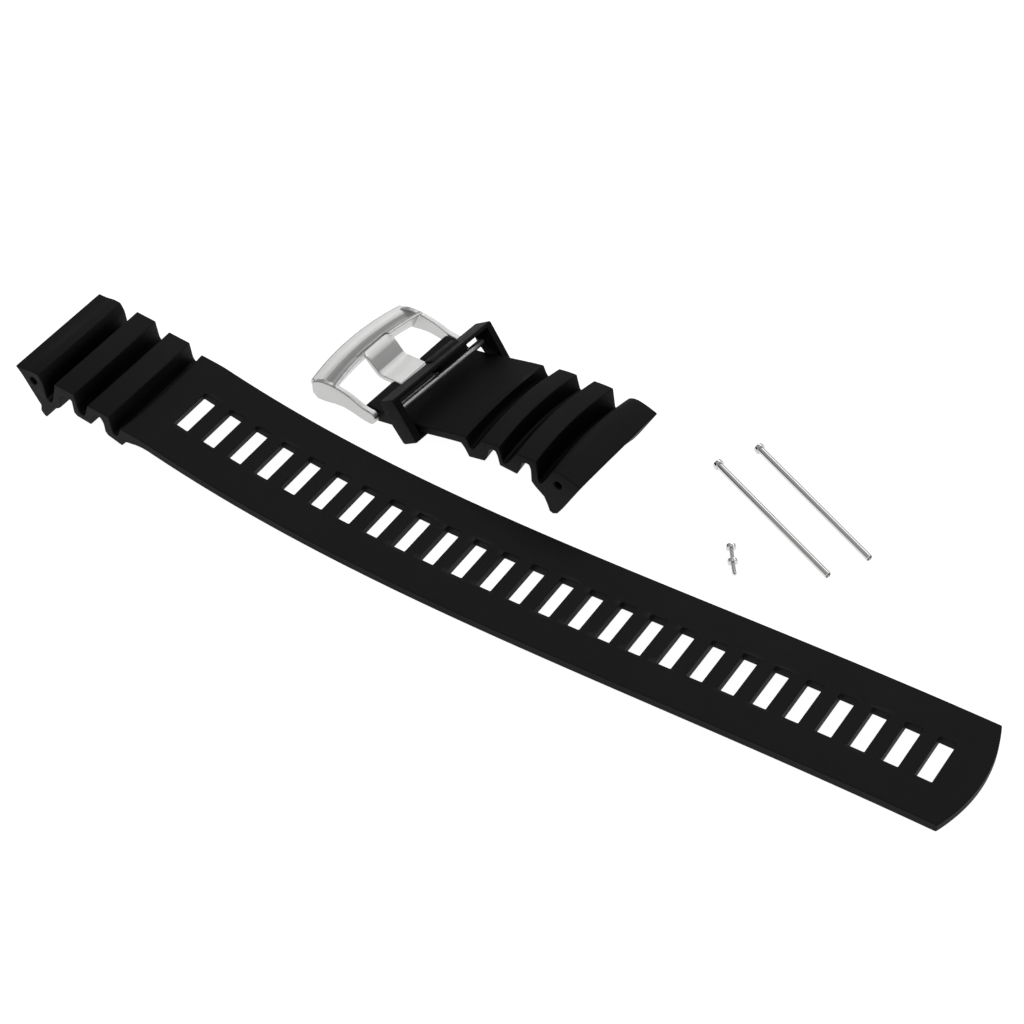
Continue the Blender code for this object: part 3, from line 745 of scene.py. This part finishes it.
loop_side = [(0.3, 0.0), (KEEPER_LEN, 0.0), (KEEPER_LEN + 0.2, 0.4), (KEEPER_LEN + 0.2, 4.3),
             (KEEPER_LEN - 0.25, 4.75), (3.3, 5.6), (0.35, KEEPER_DEPTH),
             (0.0, KEEPER_DEPTH - 0.4), (0.0, 0.3)]
loop_outline = [keeper_point(*c) for c in loop_side]
keeper = mesh_object("keeper_loop", *carry(loop_outline, -KEEPER_OUT, KEEPER_OUT, 1, 0.3,
                                           keeper_flare, 2))
rear = (SHORT_BOTTOM[3][0], SHORT_BOTTOM[3][1] - KEEPER_FOOT_GAP)
front = (SHORT_BOTTOM[4][0], SHORT_BOTTOM[4][1] - KEEPER_FOOT_GAP)
top_slope = (KEEPER_TOP_T[1] - KEEPER_TOP_T[0]) / KEEPER_DEPTH
window = [front, rear, keeper_point(KEEPER_TOP_T[1] + 1.5 * top_slope, KEEPER_DEPTH + 1.5),
          keeper_point(KEEPER_TOP_T[0] - top_slope, -1.0)]
boolean(keeper, carry(window, -KEEPER_IN, KEEPER_IN, 1, 0.001, keeper_flare, 1))
boolean(keeper, carry([keeper_point(*c) for c in BLOCK_SIDE], *BLOCK_WIDE, 1, 0.3, None, 2), "UNION")
bar_x, bar_z = keeper_point(*KEEPER_BAR_AT)
bar_centre = (bar_x, 0.0, bar_z)
bar_hole = [(-KEEPER_BAR_HOLE_END, 0), (-KEEPER_BAR_HOLE_END, KEEPER_BAR_R + 0.05),
            (KEEPER_BAR_HOLE_END, KEEPER_BAR_R + 0.05), (KEEPER_BAR_HOLE_END, 0)]
boolean(keeper, lathe(bar_hole, "Y", 40, bar_centre))
bevel(keeper, 0.18, 2, 25.0)
askew = (SHORT_MATRIX @ Matrix.Translation(Vector(bar_centre) * MM)
         @ Matrix.Rotation(math.radians(KEEPER_YAW), 4, "Z")
         @ Matrix.Translation(-Vector(bar_centre) * MM))
finish_piece(keeper, ACETAL, "keeper", "keeper", askew)

bar_rings = [(-KEEPER_BAR_END, 0), (-KEEPER_BAR_END, KEEPER_BAR_R - 0.1),
             (0.1 - KEEPER_BAR_END, KEEPER_BAR_R), (KEEPER_BAR_END - 0.1, KEEPER_BAR_R),
             (KEEPER_BAR_END, KEEPER_BAR_R - 0.1), (KEEPER_BAR_END, 0)]
keeper_bar = mesh_object("keeper_rod", *lathe(bar_rings, "Y", 48, bar_centre))
finish_piece(keeper_bar, DRAWN, "keeper", "keeper_bar", askew)


# ---- loose lug pins and screws ------------------------------------------------------------------
def lay(spot, heading, tilt, radius, thickness):
    """A headed piece lying on its head's rim and its shank's end."""
    height = radius * math.cos(tilt) + thickness * math.sin(tilt)
    return (Matrix.Translation(Vector((*spot, height)) * MM)
            @ Matrix.Rotation(math.radians(heading), 4, "Z") @ Matrix.Rotation(tilt, 4, "Y"))


def arc_rings(along, radius, size, quarter):
    """Points of a rounded rim between a flat face and a cylinder."""
    rings = []
    for k in range(5):
        a = math.pi / 2 * k / 4
        if quarter == "start":
            rings.append((along + size * (1 - math.sin(a)), radius - size * (1 - math.cos(a))))
        else:
            rings.append((along - size * (1 - math.sin(a)), radius - size * (1 - math.cos(a))))
    return rings[::-1] if quarter == "start" else rings


pin_tilt = math.atan2(PIN_HEAD_R - PIN_R, PIN_LEN - PIN_HEAD_T)
for node, (spot, heading) in PIN_PLACES.items():
    rings = [(0, 0)] + arc_rings(0.0, PIN_HEAD_R, 0.18, "start")
    rings += arc_rings(PIN_HEAD_T, PIN_HEAD_R, 0.1, "end")
    rings += [(PIN_HEAD_T, PIN_R + 0.08), (PIN_HEAD_T + 0.08, PIN_R)]
    rings += arc_rings(PIN_LEN, PIN_R, 0.1, "end")
    rings += [(PIN_LEN, PIN_HOLE_R + 0.06), (PIN_LEN - 0.08, PIN_HOLE_R)]
    turns = 8
    for k in range(turns * 4 + 1):
        depth = 0.15 + (PIN_HOLE_DEPTH - 0.3) * k / (turns * 4)
        rings.append((PIN_LEN - depth, PIN_HOLE_R - (0.06 if k % 2 else 0.0)))
    rings.append((PIN_LEN - PIN_HOLE_DEPTH - 0.3, 0))
    pin = mesh_object(node.replace("lug_", ""), *lathe(rings, "X", 48))
    finish_piece(pin, POLISHED_LONG, node, node,
                 lay(spot, heading, pin_tilt, PIN_HEAD_R, PIN_HEAD_T))


def thread_wave(along, angle):
    """A cut thread: the radius falls and rises once a turn along a helix."""
    start, end = SCREW_HEAD_T + 0.35, SCREW_LEN - 0.25
    if not start < along < end:
        return 0.0
    turn = (along / THREAD_PITCH - angle / (2 * math.pi)) % 1.0
    fade = min(1.0, (along - start) / 0.2, (end - along) / 0.15)
    return -THREAD_DEPTH * fade * abs(2 * turn - 1)


screw_tilt = math.atan2(SCREW_HEAD_R - SCREW_R, SCREW_LEN - SCREW_HEAD_T)
for node, (spot, heading) in SCREW_PLACES.items():
    rings = [(0, 0)] + arc_rings(0.0, SCREW_HEAD_R, 0.15, "start")
    rings += arc_rings(SCREW_HEAD_T, SCREW_HEAD_R, 0.08, "end")
    rings += [(SCREW_HEAD_T, SCREW_R + 0.05), (SCREW_HEAD_T + 0.05, SCREW_R)]
    count = 96
    for k in range(1, count):
        rings.append((SCREW_HEAD_T + 0.05 + (SCREW_LEN - SCREW_HEAD_T - 0.25) * k / count, SCREW_R))
    rings += [(SCREW_LEN - 0.2, SCREW_R), (SCREW_LEN, SCREW_R - 0.2), (SCREW_LEN, 0)]
    screw = mesh_object(node.replace("lug_", ""), *lathe(rings, "X", 40, wave=thread_wave))
    boolean(screw, box((-1.0, SCREW_SLOT_DEPTH), (-SCREW_SLOT / 2, SCREW_SLOT / 2), (-2.0, 2.0)))
    finish_piece(screw, POLISHED, node, node,
                 lay(spot, heading, screw_tilt, SCREW_HEAD_R, SCREW_HEAD_T))

# ---- floor, light and camera --------------------------------------------------------------------
floor = mesh_object("floor", *box((-FLOOR_HALF, FLOOR_HALF), (-FLOOR_HALF, FLOOR_HALF),
                                  (-2.0, FLOOR_TOP)))
floor_look = Nodes("pale_floor")
floor_look.set(Base_Color=(0.25, 0.25, 0.25, 1.0), Roughness=0.9, Specular_IOR_Level=0.1,
               Emission_Color=(1.0, 1.0, 1.0, 1.0), Emission_Strength=0.97)
floor.data.materials.append(floor_look.mat)

world = bpy.data.worlds.new("studio")
bpy.context.scene.world = world
world.use_nodes = True
sky = world.node_tree
height = sky.nodes.new("ShaderNodeSeparateXYZ")
ramp = sky.nodes.new("ShaderNodeValToRGB")
sky.links.new(sky.nodes.new("ShaderNodeTexCoord").outputs["Generated"], height.inputs["Vector"])
sky.links.new(height.outputs["Z"], ramp.inputs["Fac"])
sky.links.new(ramp.outputs["Color"], sky.nodes["Background"].inputs["Color"])
ramp.color_ramp.elements[0].position = 0.0
ramp.color_ramp.elements[0].color = (HORIZON_GREY, HORIZON_GREY, HORIZON_GREY, 1.0)
ramp.color_ramp.elements[1].position = 1.0
ramp.color_ramp.elements[1].color = (ZENITH_GREY, ZENITH_GREY, ZENITH_GREY, 1.0)


def softbox(name, aim, azimuth, elevation, distance, size, power):
    """A soft rectangle of light looking at aim."""
    light = bpy.data.lights.new(name, "AREA")
    light.shape = "RECTANGLE"
    light.size, light.size_y = size[0] * MM, size[1] * MM
    light.energy = power
    lamp = bpy.data.objects.new(name, light)
    bpy.context.scene.collection.objects.link(lamp)
    a, e = math.radians(azimuth), math.radians(elevation)
    away = Vector((math.sin(a) * math.cos(e), -math.cos(a) * math.cos(e), math.sin(e)))
    lamp.location = Vector(aim) * MM + away * distance * MM
    lamp.rotation_mode = "QUATERNION"
    lamp.rotation_quaternion = away.to_track_quat("Z", "Y")
    return lamp


softbox("back_strip", STUDIO_CENTRE, 185.0, 43.0, 800.0, (1150.0, 380.0), 1.9)
softbox("overhead", STUDIO_CENTRE, 20.0, 86.0, 700.0, (300.0, 300.0), 0.45)

CAMERA_AIM = Vector((-0.46, -12.98, 7.79))
CAMERA_AZIMUTH = 32.8
CAMERA_ELEVATION = 45.69
CAMERA_DISTANCE = 510.9
camera_data = bpy.data.cameras.new("camera")
camera_data.sensor_width = 36.0
camera_data.lens = 87.60
camera_data.clip_start = 0.01
camera_data.clip_end = 10.0
camera = bpy.data.objects.new("camera", camera_data)
bpy.context.scene.collection.objects.link(camera)
turn, rise = math.radians(CAMERA_AZIMUTH), math.radians(CAMERA_ELEVATION)
back = Vector((math.sin(turn) * math.cos(rise), -math.cos(turn) * math.cos(rise), math.sin(rise)))
camera.location = (CAMERA_AIM + back * CAMERA_DISTANCE) * MM
camera.rotation_mode = "QUATERNION"
camera.rotation_quaternion = (-back).to_track_quat("-Z", "Y")
bpy.context.scene.camera = camera
bpy.context.scene.view_settings.view_transform = "Standard"
